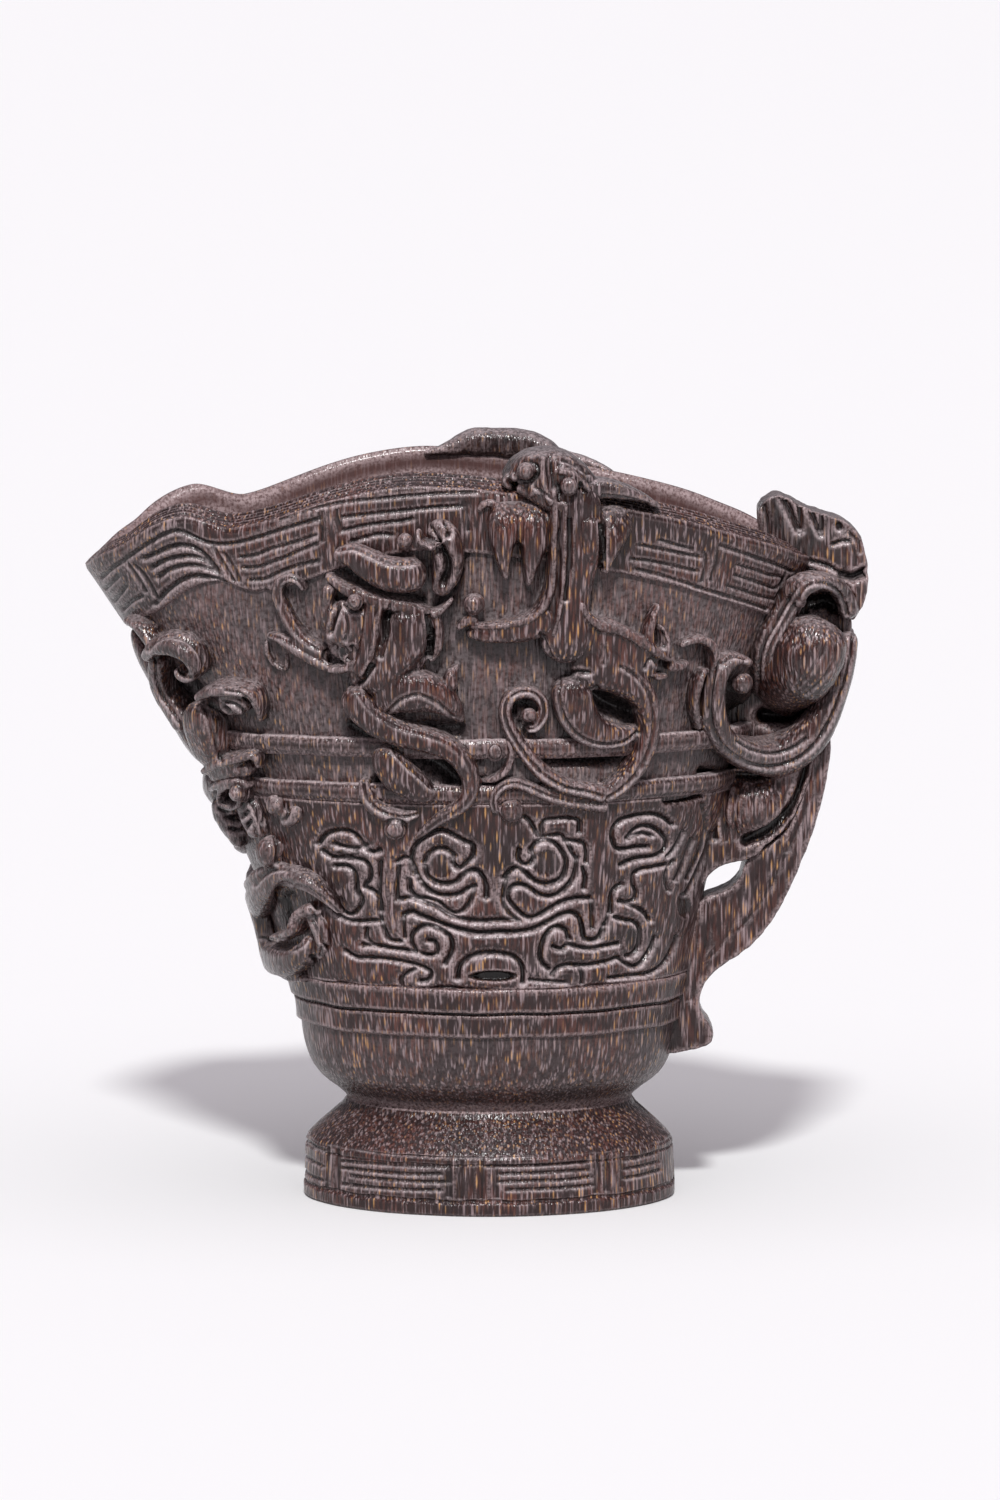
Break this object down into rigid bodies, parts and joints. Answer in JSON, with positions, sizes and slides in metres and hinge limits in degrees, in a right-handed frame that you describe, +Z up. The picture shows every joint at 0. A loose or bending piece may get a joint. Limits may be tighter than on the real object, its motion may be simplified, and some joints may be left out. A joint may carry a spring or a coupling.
{
  "type": "libation cup",
  "caption": "Boat-shaped carved bamboo libation cup with a pouring lip, a waisted oval foot, a loop handle, a raised mask band and climbing dragons in high relief.",
  "frame": {"origin": "centre of the foot's flat underside, on the ground", "axes": "+Z up, +X towards the handle, -X towards the pouring lip, -Y towards the pictured front"},
  "size_m": [0.1228, 0.0657, 0.1174],
  "materials": {
    "bamboo": "oiled, dark, semi-gloss",
    "worn_bamboo": "worn high relief, satin"
  },
  "bodies": {
    "root": {"back_handle_loop": "worn_bamboo", "back_handle_thigh": "worn_bamboo", "back_rim_dragon_body": "bamboo", "back_rim_dragon_head": "worn_bamboo", "back_rim_dragon_tail": "bamboo", "back_spout_coil": "worn_bamboo", "back_spout_crest": "worn_bamboo", "back_spout_shoulder": "worn_bamboo", "back_wall_dragon_body": "bamboo", "back_wall_dragon_head": "worn_bamboo", "back_wall_dragon_tail": "bamboo", "bowl": "bamboo", "foot": "bamboo", "foot_fret_band": "bamboo", "front_handle_loop": "worn_bamboo", "front_handle_thigh": "worn_bamboo", "front_rim_dragon_body": "bamboo", "front_rim_dragon_head": "worn_bamboo", "front_rim_dragon_tail": "bamboo", "front_spout_coil": "worn_bamboo", "front_spout_crest": "worn_bamboo", "front_spout_shoulder": "worn_bamboo", "front_wall_dragon_body": "bamboo", "front_wall_dragon_head": "worn_bamboo", "front_wall_dragon_tail": "bamboo", "handle_dragon_head": "worn_bamboo", "handle_dragon_torso": "bamboo", "handle_strap": "bamboo", "lower_fillet": "bamboo", "lower_step_ring": "bamboo", "mask_band": "bamboo", "plinth": "bamboo", "rim_fret_band": "bamboo", "spout_dragon_face": "worn_bamboo", "spout_dragon_spine": "worn_bamboo", "upper_fillet": "bamboo", "upper_step_ring": "bamboo"}
  },
  "joints": []
}
